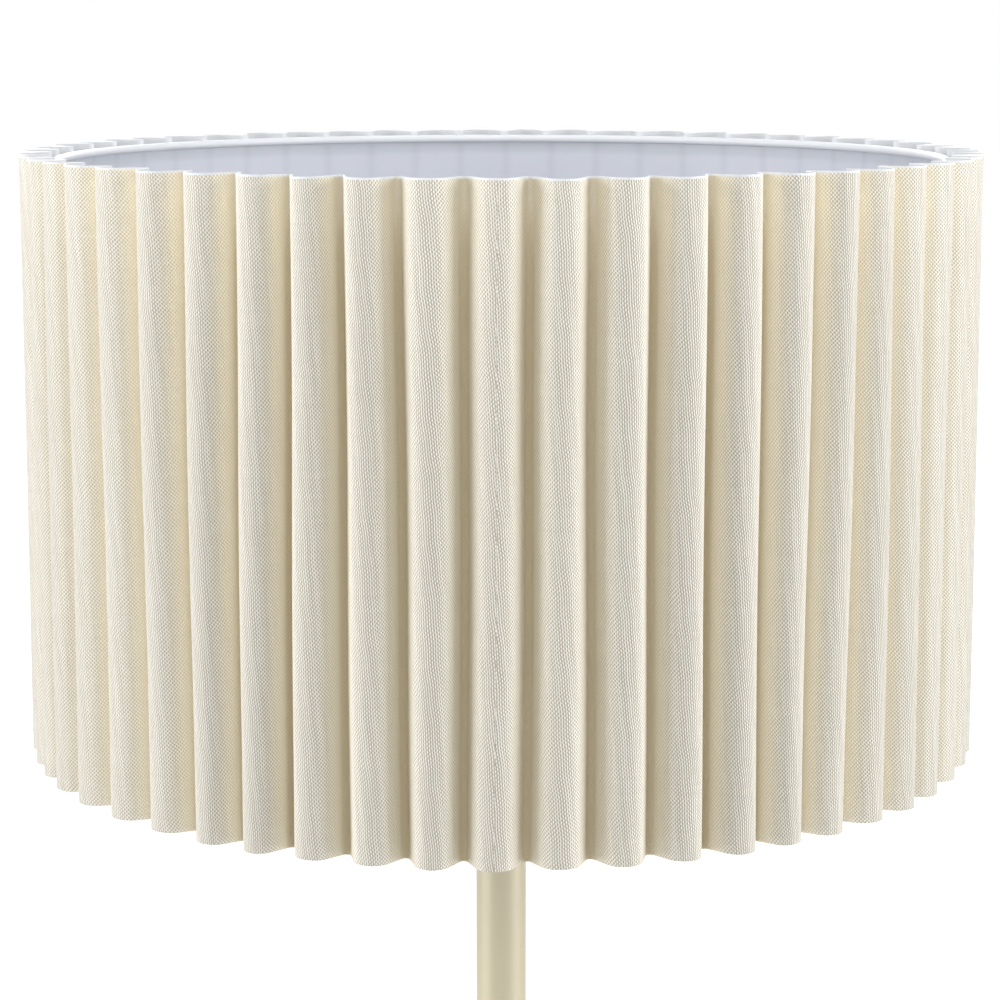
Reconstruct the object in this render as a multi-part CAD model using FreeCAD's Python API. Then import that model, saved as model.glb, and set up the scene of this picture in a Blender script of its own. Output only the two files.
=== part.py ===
"""Floor lamp with a pleated drum shade on a sectional pole and a weighted round base.

Millimetres, +Z up. The origin is on the floor, on the axis of the pole. The front is -Y.
"""
import FreeCAD
import Part
import math
import os

# --- whole lamp -------------------------------------------------------------------------------
total_height = 1540.0          # floor to the top edge of the shade
flush = 0.05                   # radial play between pieces pressed or glued together
thread_play = 0.10             # radial play between smooth stand-ins for a nut and its thread
turning_play = 0.10            # play between pieces that turn on each other
soft_play = 0.30               # room between fabric and what it is glued to
edge_break = 0.30              # small radius on cut metal edges

# --- pleated cover ----------------------------------------------------------------------------
shade_radius = 203.0           # over the crests of the pleats
shade_height = 254.0           # cut height of the cover
pleats = 53
pleat_depth = 12.8             # crest to valley, on the outer face
crest_radius = 7.4             # outer face, in plan
valley_radius = 1.6            # outer face, in plan
cover_thickness = 1.0          # woven fabric on its backing
first_crest_deg = -90.7        # one crest sits a hair to the left of the front

# --- liner, rolled edges and ring wires -------------------------------------------------------
liner_thickness = 0.8
roll_diameter = 3.5            # liner edge rolled round its wire
roll_skin = 0.5
roll_slit_deg = 40.0           # opening along the roll, towards the liner
roll_recess = 2.0              # rolled edge to the cover's edge, top and bottom
roll_notch_width = 9.0         # the roll is slit where a fitter arm meets the wire

# --- fitter -----------------------------------------------------------------------------------
fitter_arms = 3
first_arm_deg = 90.0
arm_diameter = 3.0
arm_start_radius = 25.5        # inner end of an arm, under the hub plate
arm_bend_radius = 46.0         # distance from the axis where an arm bends downwards
arm_bend_curve = 14.0          # radius of that bend
hub_outer_radius = 33.0
hub_thickness = 1.5
hub_bore_radius = 21.0

# --- pole -------------------------------------------------------------------------------------
pole_diameter = 22.0
pole_wall = 1.0
pole_section_count = 3
pole_end_below_shade = 6.0     # top of the tube under the shade's bottom edge
insert_height = 14.0
rod_diameter = 10.0            # hollow threaded rod, used at every joint
rod_bore = 6.5
top_cap_height = 6.0

# --- base -------------------------------------------------------------------------------------
base_diameter = 260.0
base_sheet = 1.2
base_corner = 5.0
rim_clearance = 1.0            # cover's rim above the floor
pad_thickness = 3.0
pad_margin = 6.0               # pad's edge inside the cover's wall
pad_opening_radius = 30.0
weight_thickness = 14.0
weight_play = 0.8              # between the weight and the cover's wall
nut_recess_radius = 18.0
nut_recess_depth = 9.0
lead_groove_width = 11.0
lead_groove_depth = 10.0
collar_radius = 16.0
collar_height = 7.0
collar_floor = 3.0             # collar's thickness under the tube
washer_radius = 14.0
washer_thickness = 1.6
lock_washer_radius = 8.5
lock_washer_thickness = 1.2
lock_washer_slit = 1.5
nut_across_flats = 14.0
nut_thickness = 4.0
nipple_tail = 0.8              # rod standing out below the base nut

# --- cord bushing at the back of the base -----------------------------------------------------
bushing_bore = 6.4
bushing_barrel_radius = 4.2
bushing_flange_radius = 5.6
bushing_flange = 1.5
bushing_lip_radius = 4.8
bushing_lip = 2.0
bushing_play = 0.25            # flat lip behind the curved wall
bushing_length = 9.0           # inwards from the cover's outer face

# --- lampholder -------------------------------------------------------------------------------
holder_radius = 20.0
holder_wall = 2.2
cap_height = 22.0
cap_neck_radius = 9.0
cap_neck_height = 6.0
cap_neck_curve = 3.0           # hollow curve from the neck to the bell
cap_shoulder_curve = 6.0       # outer face of the bell's shoulder
cap_wall = 1.5
cap_floor = 6.5
nipple_above_nut = 1.5
set_screw_radius = 1.9
housing_height = 24.0
housing_floor = 2.0
housing_floor_bore = 13.0
flange_radius = 23.5
flange_thickness = 2.5
skirt_height = 27.0
skirt_thread_radius = 19.8
skirt_thread_depth = 0.9
skirt_thread_pitch = 3.0
core_play = 0.2
sleeve_thickness = 1.0
sleeve_height = 24.0
screw_shell_bore = 13.6
screw_shell_sheet = 0.5
screw_shell_height = 22.0
terminal_head_radius = 2.8
terminal_head = 2.0
terminal_shank_radius = 1.6
terminal_shank = 5.0
terminal_pocket_width = 10.0
terminal_pocket_height = 12.0
terminal_pocket_depth = 4.5
contact_width = 6.0
contact_sheet = 0.6
contact_rise = 1.6             # tongue's tip above the core
contact_reach = 9.0            # rivet end's distance from the axis
wire_hole_radius = 2.2
wire_hole_distance = 9.5

# --- retaining ring and switch ----------------------------------------------------------------
ring_nut_radius = 27.0
ring_nut_height = 7.0
ring_nut_flutes = 24
ring_nut_flute_radius = 1.4
switch_drop = 12.0             # switch axis under the holder's flange
stem_radius = 2.0
cam_radius = 5.0
cam_thickness = 3.0
cam_inner_x = 6.0
switch_pocket_radius = 6.2
switch_bush_radius = 4.4
switch_bush_start = 12.0
switch_bush_proud = 2.5
knob_radius = 7.0
knob_tip_radius = 6.3
knob_length = 13.0
knob_gap = 0.8                 # knob to the end of its bush
knob_bore_depth = 10.0
knob_flutes = 12
knob_flute_radius = 0.9

# --- bulb -------------------------------------------------------------------------------------
bulb_tip_play = 0.3            # bulb's tip above the contact tongue at rest
tip_radius = 4.6
tip_thickness = 1.4
insulator_top_radius = 9.6
insulator_height = 3.4
bulb_cap_radius = 13.1
bulb_cap_sheet = 0.4
bulb_cap_height = 20.2
bulb_thread_depth = 0.9
bulb_thread_pitch = 3.6
bulb_neck_radius = 14.0
bulb_waist_flare = 1.5         # waist's radius over the neck's
bulb_waist_curve = 12.0
bulb_belly_radius = 30.0
bulb_body_height = 36.0
bulb_body_wall = 1.6
ledge_height = 2.0             # body's inward ledge that carries the board
board_overlap = 1.5            # board's edge on that ledge
board_play = 3.2               # board's edge inside the dome
dome_wall = 1.0
dome_straight = 17.0           # from the body's rim to the centre of the round top
board_thickness = 1.6
led_chips = 10
led_chip_side = 3.0
led_chip_height = 0.8

# --- places that follow from the sizes above --------------------------------------------------
shade_top = total_height
shade_bottom = shade_top - shade_height
liner_outer = shade_radius - pleat_depth - cover_thickness - soft_play
liner_inner = liner_outer - liner_thickness
roll_radius = roll_diameter / 2
ring_radius = liner_outer - roll_radius
top_ring_z = shade_top - roll_recess - roll_radius
bottom_ring_z = shade_bottom + roll_recess + roll_radius
wire_radius = roll_radius - roll_skin - flush

pole_radius = pole_diameter / 2
pole_bore = pole_radius - pole_wall
rod_radius = rod_diameter / 2
rod_hole = rod_radius + thread_play
weight_top = pad_thickness + weight_thickness
base_top = weight_top + base_sheet
pole_foot = base_top + collar_floor
pole_top = shade_bottom - pole_end_below_shade
section_length = (pole_top - pole_foot) / pole_section_count
base_radius = base_diameter / 2
base_bore = base_radius - base_sheet
recess_top = pad_thickness + nut_recess_depth
lead_z = pad_thickness + lead_groove_depth / 2

cap_bottom = pole_top + top_cap_height
cap_top = cap_bottom + cap_height
flange_bottom = cap_top + housing_height
flange_top = flange_bottom + flange_thickness
skirt_top = flange_top + skirt_height
core_bottom = cap_top + housing_floor
holder_bore = holder_radius - holder_wall
core_radius = holder_bore - core_play
core_top = flange_top
switch_z = flange_bottom - switch_drop
hub_bottom = flange_top + turning_play
hub_top = hub_bottom + hub_thickness
ring_nut_bottom = hub_top + turning_play
bulb_tip_z = core_top + contact_rise + bulb_tip_play

FINE = 1e-6
UP = FreeCAD.Vector(0, 0, 1)
OUTWARD = FreeCAD.Vector(1, 0, 0)
ORIGIN = FreeCAD.Vector(0, 0, 0)


# --- drawing helpers --------------------------------------------------------------------------
def polar(radius, degrees, z=0.0):
    """Point at a distance from the axis, at an angle from +X."""
    angle = math.radians(degrees)
    return FreeCAD.Vector(radius * math.cos(angle), radius * math.sin(angle), z)


def corner_arc(before, corner, after, radius):
    """Start, middle and end of the tangent arc that rounds a corner."""
    to_before = (before - corner).normalize()
    to_after = (after - corner).normalize()
    half = to_before.getAngle(to_after) / 2
    reach = radius / math.tan(half)
    bisector = (to_before + to_after).normalize()
    middle = corner + bisector * (radius / math.sin(half) - radius)
    return corner + to_before * reach, middle, corner + to_after * reach


def outline(corners):
    """Closed wire in the XZ plane through (x, z) or (x, z, rounding radius) corners."""
    corners = [(*corner, 0.0)[:3] for corner in corners]
    points = [FreeCAD.Vector(x, 0, z) for x, z, _ in corners]
    stops = []
    for index, (_, _, radius) in enumerate(corners):
        after = points[(index + 1) % len(points)]
        if radius > 0:
            stops.append(corner_arc(points[index - 1], points[index], after, radius))
        else:
            stops.append((points[index],) * 3)
    edges = []
    for index, (start, middle, end) in enumerate(stops):
        if start.distanceToPoint(end) > FINE:
            edges.append(Part.Arc(start, middle, end).toShape())
        following = stops[(index + 1) % len(stops)][0]
        if end.distanceToPoint(following) > FINE:
            edges.append(Part.LineSegment(end, following).toShape())
    return Part.Wire(edges)


def turned(corners):
    """Solid of revolution about the lamp's axis."""
    return Part.Face(outline(corners)).revolve(ORIGIN, UP, 360)


def lathed_along_x(corners, z):
    """Solid of revolution about a level axis along +X; a corner is (distance from axis, x)."""
    solid = turned(corners)
    solid.rotate(ORIGIN, FreeCAD.Vector(0, 1, 0), 90)
    solid.translate(FreeCAD.Vector(0, 0, z))
    return solid


def tube(outer, inner, bottom, top, rounding=0.0):
    """Round tube on the lamp's axis, with its outer edges rounded."""
    return turned([(inner, bottom), (outer, bottom, rounding), (outer, top, rounding), (inner, top)])


def ridges(major, depth, pitch, bottom, top):
    """Corners of a row of thread ridges, from bottom to top."""
    count = int((top - bottom) / pitch)
    step = (top - bottom) / count
    rounding = depth * 0.4
    corners = []
    for ridge in range(count):
        corners.append((major - depth, bottom + (ridge + 0.02) * step, 0.0))
        corners.append((major, bottom + (ridge + 0.5) * step, rounding))
    corners.append((major - depth, top, 0.0))
    return corners


def hex_nut(across_flats, bore, bottom, thickness):
    """Hexagon nut on the lamp's axis, with its corners turned off."""
    corner = across_flats / math.sqrt(3)
    ring = Part.makePolygon([polar(corner, 60 * side, bottom) for side in range(7)])
    prism = Part.Face(ring).extrude(FreeCAD.Vector(0, 0, thickness))
    drop = corner - across_flats / 2
    top = bottom + thickness
    flat = across_flats / 2
    envelope = turned([(bore, bottom), (flat, bottom), (corner, bottom + drop),
                       (corner, top - drop), (flat, top), (bore, top)])
    return prism.common(envelope)


def flutes(radius, centre_radius, count, start, length):
    """Ring of round cutters along the lamp's axis."""
    cutters = []
    for index in range(count):
        foot = polar(centre_radius, 360.0 * index / count, start)
        cutters.append(Part.makeCylinder(radius, length, foot, UP))
    return Part.makeCompound(cutters)


# --- base -------------------------------------------------------------------------------------
def make_base_pad():
    return tube(base_bore - pad_margin, pad_opening_radius, 0.0, pad_thickness, edge_break)


def make_base_weight():
    """Iron disc with a recess for the nut and a groove for the lead, both in its underside."""
    outer = base_bore - weight_play
    disc = turned([(rod_hole, pad_thickness), (outer, pad_thickness, 1.0),
                   (outer, weight_top, base_corner), (rod_hole, weight_top)])
    recess = Part.makeCylinder(nut_recess_radius, nut_recess_depth, FreeCAD.Vector(0, 0, pad_thickness))
    corner = FreeCAD.Vector(-lead_groove_width / 2, 0, pad_thickness)
    groove = Part.makeBox(lead_groove_width, base_radius, lead_groove_depth, corner)
    return disc.cut(recess).cut(groove)


def make_base_cover():
    """Spun sheet shell, open below, with a hole for the rod and one for the cord bushing."""
    inner_corner = base_corner - base_sheet
    shell = turned([(rod_hole, base_top), (base_radius, base_top, base_corner),
                    (base_radius, rim_clearance, edge_break), (base_bore, rim_clearance),
                    (base_bore, weight_top, inner_corner), (rod_hole, weight_top)])
    start = FreeCAD.Vector(0, base_bore - base_sheet, lead_z)
    hole = Part.makeCylinder(bushing_barrel_radius + flush, 3 * base_sheet, start, FreeCAD.Vector(0, 1, 0))
    return shell.cut(hole)


def make_cord_bushing():
    """Plastic gland that the lead enters by: flange outside, barrel and a lip inside the wall."""
    bore = bushing_bore / 2
    face = base_radius + flush
    inside = base_bore - bushing_play
    lip_end = inside - bushing_lip
    inner_end = base_radius - bushing_length
    bush = lathed_along_x([(bore, face + bushing_flange), (bore, inner_end),
                           (bushing_barrel_radius, inner_end, edge_break),
                           (bushing_barrel_radius, lip_end - bushing_lip),
                           (bushing_lip_radius, lip_end), (bushing_lip_radius, inside),
                           (bushing_barrel_radius, inside), (bushing_barrel_radius, face),
                           (bushing_flange_radius, face),
                           (bushing_flange_radius, face + bushing_flange, 1.0)], 0.0)
    bush.rotate(ORIGIN, UP, 90)
    bush.translate(FreeCAD.Vector(0, 0, lead_z))
    return bush


def make_base_nipple():
    bottom = recess_top - washer_thickness - lock_washer_thickness - nut_thickness - nipple_tail
    return tube(rod_radius, rod_bore / 2, bottom, pole_foot + insert_height, edge_break)


def make_base_washer():
    return tube(washer_radius, rod_hole, recess_top - washer_thickness, recess_top, edge_break)


def make_base_lock_washer():
    """Split spring washer, pressed flat."""
    top = recess_top - washer_thickness
    bottom = top - lock_washer_thickness
    ring = tube(lock_washer_radius, rod_hole, bottom, top)
    corner = FreeCAD.Vector(0, -lock_washer_slit / 2, bottom)
    slit = Part.makeBox(2 * lock_washer_radius, lock_washer_slit, lock_washer_thickness, corner)
    return ring.cut(slit)


def make_base_nut():
    bottom = recess_top - washer_thickness - lock_washer_thickness - nut_thickness
    return hex_nut(nut_across_flats, rod_hole, bottom, nut_thickness)


def make_base_collar():
    """Turned foot ring that the lowest tube stands in."""
    seat = pole_radius + flush
    top = base_top + collar_height
    return turned([(rod_hole, base_top), (collar_radius, base_top), (collar_radius, top, 2.5),
                   (seat, top), (seat, pole_foot), (rod_hole, pole_foot)])


# --- pole -------------------------------------------------------------------------------------
def make_pole_tube(section):
    bottom = pole_foot + section * section_length
    return tube(pole_radius, pole_bore, bottom, bottom + section_length, edge_break)


def make_pole_insert(bottom):
    """Threaded bush pressed into the end of a tube."""
    return tube(pole_bore - flush, rod_hole, bottom, bottom + insert_height, edge_break)


def make_joint_stud(seam):
    """Hollow rod that screws half into the tube below a seam and half into the tube above it."""
    return tube(rod_radius, rod_bore / 2, seam - insert_height, seam + insert_height, edge_break)


def make_pole_top_cap():
    return tube(pole_radius, rod_hole, pole_top, cap_bottom, 1.0)


# --- lampholder -------------------------------------------------------------------------------
def make_holder_nipple():
    top = cap_bottom + cap_floor + nut_thickness + nipple_above_nut
    return tube(rod_radius, rod_bore / 2, pole_top - insert_height, top, edge_break)


def make_holder_cap():
    """Bell-shaped lower cap, with a solid neck on the rod and a radial hole for its grub screw."""
    inner = holder_radius - cap_wall
    neck = cap_bottom + cap_neck_height
    shoulder = neck + holder_radius - cap_neck_radius
    inner_curve = cap_shoulder_curve - cap_wall / 2
    floor = cap_bottom + cap_floor
    bell = turned([(rod_hole, cap_bottom), (cap_neck_radius, cap_bottom, 1.0),
                   (cap_neck_radius, neck, cap_neck_curve), (holder_radius, shoulder, cap_shoulder_curve),
                   (holder_radius, cap_top), (inner, cap_top), (inner, shoulder + cap_wall / 2, inner_curve),
                   (nut_across_flats * 0.65, floor), (rod_hole, floor)])
    start = FreeCAD.Vector(0, 0, cap_bottom + cap_neck_height / 2)
    hole = Part.makeCylinder(set_screw_radius + flush, 2 * cap_neck_radius, start, OUTWARD * -1)
    return bell.cut(hole)


def make_holder_set_screw():
    """Grub screw with a hexagon socket, in the neck of the cap."""
    start = FreeCAD.Vector(-rod_hole, 0, cap_bottom + cap_neck_height / 2)
    length = cap_neck_radius - rod_hole
    screw = Part.makeCylinder(set_screw_radius, length, start, OUTWARD * -1)
    ring = Part.makePolygon([polar(set_screw_radius * 0.6, 60 * side) for side in range(7)])
    socket = Part.Face(ring).extrude(UP * (length / 2))
    socket.rotate(ORIGIN, FreeCAD.Vector(0, 1, 0), 90)
    socket.translate(FreeCAD.Vector(-cap_neck_radius, 0, start.z))
    return screw.cut(socket)


def make_holder_lock_nut():
    return hex_nut(nut_across_flats, rod_hole, cap_bottom + cap_floor, nut_thickness)


def make_holder_shell():
    """Outer shell: switch housing, flange that carries the shade, and a threaded skirt above it."""
    thread = ridges(skirt_thread_radius, skirt_thread_depth, skirt_thread_pitch,
                    flange_top + hub_thickness, skirt_top)
    root = skirt_thread_radius - skirt_thread_depth
    shell = turned([(housing_floor_bore, cap_top), (holder_radius, cap_top),
                    (holder_radius, flange_bottom), (flange_radius, flange_bottom, edge_break),
                    (flange_radius, flange_top, edge_break), (root, flange_top), *thread,
                    (holder_bore, skirt_top), (holder_bore, core_bottom),
                    (housing_floor_bore, core_bottom)])
    start = FreeCAD.Vector(0, 0, switch_z)
    hole = Part.makeCylinder(switch_bush_radius + flush, 2 * holder_radius, start, OUTWARD)
    return shell.cut(hole)


def make_holder_core():
    """Moulded core with a switch pocket, two terminal pockets and two holes for the wires."""
    core = Part.makeCylinder(core_radius, core_top - core_bottom, FreeCAD.Vector(0, 0, core_bottom))
    start = FreeCAD.Vector(cam_inner_x - turning_play, 0, switch_z)
    core = core.cut(Part.makeCylinder(switch_pocket_radius, core_radius, start, OUTWARD))
    height = core_top - core_bottom
    for side in (-1, 1):
        middle = side * (core_radius - terminal_pocket_depth / 2)
        corner = FreeCAD.Vector(-terminal_pocket_width / 2, middle - terminal_pocket_depth / 2,
                                switch_z - terminal_pocket_height / 2)
        core = core.cut(Part.makeBox(terminal_pocket_width, terminal_pocket_depth,
                                     terminal_pocket_height, corner))
        inner = core_radius - terminal_pocket_depth - terminal_shank
        start = FreeCAD.Vector(0, side * inner, switch_z)
        along = FreeCAD.Vector(0, side, 0)
        core = core.cut(Part.makeCylinder(terminal_shank_radius + flush, core_radius, start, along))
        start = FreeCAD.Vector(-wire_hole_distance, side * wire_hole_distance, core_bottom)
        core = core.cut(Part.makeCylinder(wire_hole_radius, height, start))
    return core


def make_holder_sleeve():
    """Insulating sleeve between the skirt and the live screw shell."""
    outer = holder_bore - core_play
    return tube(outer, outer - sleeve_thickness, core_top, core_top + sleeve_height)


def make_holder_screw_shell():
    """Pressed screw shell, with a turned-in foot that rests on the core."""
    inner = screw_shell_bore
    outer = inner + screw_shell_sheet
    top = core_top + screw_shell_height
    foot = core_top + screw_shell_sheet
    return turned([(inner - 1.5, core_top), (outer, core_top, 0.4), (outer, top), (inner, top),
                   (inner, foot), (inner - 1.5, foot)])


def make_holder_centre_contact():
    """Spring tongue, riveted to the core at one end and raised under the bulb's tip."""
    rivet_end = -contact_reach
    flat_end = rivet_end + 4.0
    tip_start = -2.5
    tip_end = 2.5
    lower = core_top
    upper = core_top + contact_rise
    side = Part.Face(outline([(rivet_end, lower), (flat_end, lower, 0.8),
                              (tip_start, upper - contact_sheet, 0.8),
                              (tip_end, upper - contact_sheet), (tip_end, upper),
                              (tip_start - 0.2, upper, 0.5), (flat_end - 0.2, lower + contact_sheet, 0.5),
                              (rivet_end, lower + contact_sheet)]))
    strip = side.extrude(FreeCAD.Vector(0, contact_width, 0))
    strip.translate(FreeCAD.Vector(0, -contact_width / 2, 0))
    return strip


def make_holder_terminal_screws():
    """Two binding screws, one on each side of the core."""
    screws = []
    for side in (-1, 1):
        seat = core_radius - terminal_pocket_depth
        along = FreeCAD.Vector(0, side, 0)
        start = FreeCAD.Vector(0, side * (seat - terminal_shank), switch_z)
        shank = Part.makeCylinder(terminal_shank_radius, terminal_shank + 0.5, start, along)
        start = FreeCAD.Vector(0, side * (seat + 0.4), switch_z)
        head = Part.makeCylinder(terminal_head_radius, terminal_head, start, along)
        slot_depth = terminal_head / 2
        face = side * (seat + 0.4 + terminal_head)
        slot = Part.makeBox(2 * terminal_head_radius, 2 * slot_depth, 0.8,
                            FreeCAD.Vector(-terminal_head_radius, face - slot_depth, switch_z - 0.4))
        screws.append(shank.fuse(head).cut(slot))
    return Part.makeCompound(screws)


def make_shade_ring_nut():
    """Fluted ring that screws down the skirt and clamps the fitter's hub."""
    top = ring_nut_bottom + ring_nut_height
    bore = skirt_thread_radius + 2 * thread_play
    ring = tube(ring_nut_radius, bore, ring_nut_bottom, top, 1.2)
    cutters = flutes(ring_nut_flute_radius, ring_nut_radius + 0.4 * ring_nut_flute_radius,
                     ring_nut_flutes, ring_nut_bottom, ring_nut_height)
    return ring.cut(cutters)


# --- switch -----------------------------------------------------------------------------------
def make_switch_bushing():
    bore = stem_radius + turning_play
    end = holder_radius + switch_bush_proud
    return lathed_along_x([(bore, switch_bush_start), (switch_bush_radius, switch_bush_start, edge_break),
                           (switch_bush_radius, end, edge_break), (bore, end)], switch_z)


def knob_start():
    return holder_radius + switch_bush_proud + knob_gap


def make_switch_stem():
    """Stem with the switching cam on its inner end."""
    end = knob_start() + knob_bore_depth
    cam_end = cam_inner_x + cam_thickness
    stem = lathed_along_x([(0, cam_inner_x), (cam_radius, cam_inner_x, edge_break),
                           (cam_radius, cam_end, edge_break), (stem_radius, cam_end),
                           (stem_radius, end), (0, end)], switch_z)
    notch = Part.makeBox(cam_thickness, 2 * cam_radius, cam_radius,
                         FreeCAD.Vector(cam_inner_x, -cam_radius, switch_z + cam_radius * 0.6))
    return stem.cut(notch)


def make_switch_knob():
    """Round knob, slightly tapered, with finger flutes along it."""
    start = knob_start()
    end = start + knob_length
    bore = stem_radius + flush
    blind = start + knob_bore_depth + flush
    knob = turned([(bore, start), (knob_radius, start, 0.6), (knob_tip_radius, end, 1.2), (0, end),
                   (0, blind), (bore, blind)])
    cutters = flutes(knob_flute_radius, knob_radius + 0.3 * knob_flute_radius, knob_flutes,
                     start + 2.0, knob_length)
    knob = knob.cut(cutters)
    knob.rotate(ORIGIN, FreeCAD.Vector(0, 1, 0), 90)
    knob.translate(FreeCAD.Vector(0, 0, switch_z))
    return knob


# --- fitter -----------------------------------------------------------------------------------
def make_fitter_hub():
    return tube(hub_outer_radius, hub_bore_radius, hub_bottom, hub_top, edge_break)


def arm_angle(index):
    return first_arm_deg + 360.0 * index / fitter_arms


def make_fitter_arm(index):
    """Round wire: level under the hub, then straight down to the bottom ring wire."""
    radius = arm_diameter / 2
    level = hub_bottom - radius - flush
    start = FreeCAD.Vector(arm_start_radius, 0, level)
    bend = FreeCAD.Vector(arm_bend_radius, 0, level)
    ring = FreeCAD.Vector(ring_radius, 0, bottom_ring_z)
    slope = (ring - bend).normalize()
    end = ring - slope * (wire_radius + turning_play)
    first, middle, last = corner_arc(start, bend, end, arm_bend_curve)
    path = Part.Wire([Part.LineSegment(start, first).toShape(),
                      Part.Arc(first, middle, last).toShape(),
                      Part.LineSegment(last, end).toShape()])
    section = Part.Wire(Part.makeCircle(radius, start, OUTWARD))
    arm = path.makePipeShell([section], True, False)
    arm.rotate(ORIGIN, UP, arm_angle(index))
    return arm


# --- shade ------------------------------------------------------------------------------------
def make_ring_wire(z):
    return Part.makeTorus(ring_radius, wire_radius, FreeCAD.Vector(0, 0, z), UP)


def make_edge_roll(z, slit_direction_deg):
    """Liner edge rolled round its wire: a C section, open towards the liner."""
    inner = roll_radius - roll_skin
    half = roll_slit_deg / 2
    first = slit_direction_deg + half
    last = slit_direction_deg + 360.0 - half
    middle = slit_direction_deg + 180.0

    def on_section(radius, degrees):
        angle = math.radians(degrees)
        return FreeCAD.Vector(ring_radius + radius * math.cos(angle), 0, z + radius * math.sin(angle))

    outer_arc = Part.Arc(on_section(roll_radius, first), on_section(roll_radius, middle),
                         on_section(roll_radius, last))
    inner_arc = Part.Arc(on_section(inner, last), on_section(inner, middle), on_section(inner, first))
    lip_a = Part.LineSegment(on_section(roll_radius, last), on_section(inner, last))
    lip_b = Part.LineSegment(on_section(inner, first), on_section(roll_radius, first))
    section = Part.Wire([outer_arc.toShape(), lip_a.toShape(), inner_arc.toShape(), lip_b.toShape()])
    return Part.Face(section).revolve(ORIGIN, UP, 360)


def make_bottom_edge_roll():
    """The lower roll is slit on its inner side where the fitter's arms reach the wire."""
    roll = make_edge_roll(bottom_ring_z, 60.0)
    for index in range(fitter_arms):
        corner = FreeCAD.Vector(ring_radius - roll_diameter, -roll_notch_width / 2,
                                bottom_ring_z - roll_diameter)
        notch = Part.makeBox(roll_diameter, roll_notch_width, 2 * roll_diameter, corner)
        notch.rotate(ORIGIN, UP, arm_angle(index))
        roll = roll.cut(notch)
    return roll


def make_shade_liner():
    return tube(liner_outer, liner_inner, bottom_ring_z + roll_radius, top_ring_z - roll_radius)


def pleat_wire(inset):
    """One face of the pleated sheet: crest arc, straight flank, valley arc, flank, all round."""
    pitch = 360.0 / pleats
    crest_centre = polar(shade_radius - crest_radius, 0)
    valley_centre = polar(shade_radius - pleat_depth + valley_radius, pitch / 2)
    between = valley_centre - crest_centre
    lean = math.acos((crest_radius + valley_radius) / between.Length)
    facing = math.atan2(between.y, between.x) - lean
    flank_normal = FreeCAD.Vector(math.cos(facing), math.sin(facing), 0)
    crest_end = crest_centre + flank_normal * (crest_radius - inset)
    valley_start = valley_centre - flank_normal * (valley_radius + inset)
    crest_turn = math.degrees(math.atan2(crest_end.y, crest_end.x))
    valley_turn = math.degrees(math.atan2(valley_start.y, valley_start.x))
    crest_tip = shade_radius - inset
    valley_tip = shade_radius - pleat_depth - inset
    edges = []
    for index in range(pleats):
        crest = first_crest_deg + index * pitch
        start = polar(crest_end.Length, crest - crest_turn, shade_bottom)
        end = polar(crest_end.Length, crest + crest_turn, shade_bottom)
        dip = polar(valley_start.Length, crest + valley_turn, shade_bottom)
        rise = polar(valley_start.Length, crest + pitch - valley_turn, shade_bottom)
        following = polar(crest_end.Length, crest + pitch - crest_turn, shade_bottom)
        edges.append(Part.Arc(start, polar(crest_tip, crest, shade_bottom), end).toShape())
        edges.append(Part.LineSegment(end, dip).toShape())
        edges.append(Part.Arc(dip, polar(valley_tip, crest + pitch / 2, shade_bottom), rise).toShape())
        edges.append(Part.LineSegment(rise, following).toShape())
    return Part.Wire(edges)


def make_pleated_cover():
    section = Part.makeFace([pleat_wire(0.0), pleat_wire(cover_thickness)], "Part::FaceMakerBullseye")
    return section.extrude(FreeCAD.Vector(0, 0, shade_height))


# --- bulb -------------------------------------------------------------------------------------
insulator_z = bulb_tip_z + tip_thickness
bulb_cap_z = insulator_z + insulator_height
bulb_body_z = bulb_cap_z + bulb_cap_height
bulb_rim_z = bulb_body_z + bulb_body_height
dome_outer = bulb_belly_radius
board_radius = dome_outer - dome_wall - board_play
dome_centre_z = bulb_rim_z + dome_straight


def make_bulb_tip_contact():
    return turned([(0, bulb_tip_z), (tip_radius, bulb_tip_z, 1.0), (tip_radius, insulator_z),
                   (0, insulator_z)])


def make_bulb_tip_insulator():
    return turned([(0, insulator_z), (tip_radius + 0.6, insulator_z),
                   (insulator_top_radius, bulb_cap_z), (0, bulb_cap_z)])


def make_bulb_screw_cap():
    """Threaded metal cap: a thin cup standing on its insulator."""
    root = bulb_cap_radius - bulb_thread_depth
    bore = root - bulb_cap_sheet
    floor = bulb_cap_z + bulb_cap_sheet
    thread = ridges(bulb_cap_radius, bulb_thread_depth, bulb_thread_pitch, bulb_cap_z + 3.0,
                    bulb_body_z - 1.5)
    return turned([(0, bulb_cap_z), (insulator_top_radius, bulb_cap_z), (root, bulb_cap_z + 2.4),
                   *thread, (root, bulb_body_z), (bore, bulb_body_z), (bore, bulb_cap_z + 3.0),
                   (insulator_top_radius - bulb_cap_sheet, floor), (0, floor)])


def make_bulb_body():
    """Hollow plastic housing that flares from the cap to the dome."""
    wall = bulb_body_wall
    waist = bulb_body_z + bulb_body_height * 0.30
    ledge = board_radius - board_overlap
    foot = bulb_body_z + wall
    bore = bulb_neck_radius - wall
    return turned([(0, bulb_body_z), (bulb_neck_radius, bulb_body_z, 1.0),
                   (bulb_neck_radius + bulb_waist_flare, waist, bulb_waist_curve),
                   (bulb_belly_radius, bulb_rim_z), (ledge, bulb_rim_z),
                   (ledge, bulb_rim_z - ledge_height), (bore, waist, bulb_waist_curve), (bore, foot),
                   (0, foot)])


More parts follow.
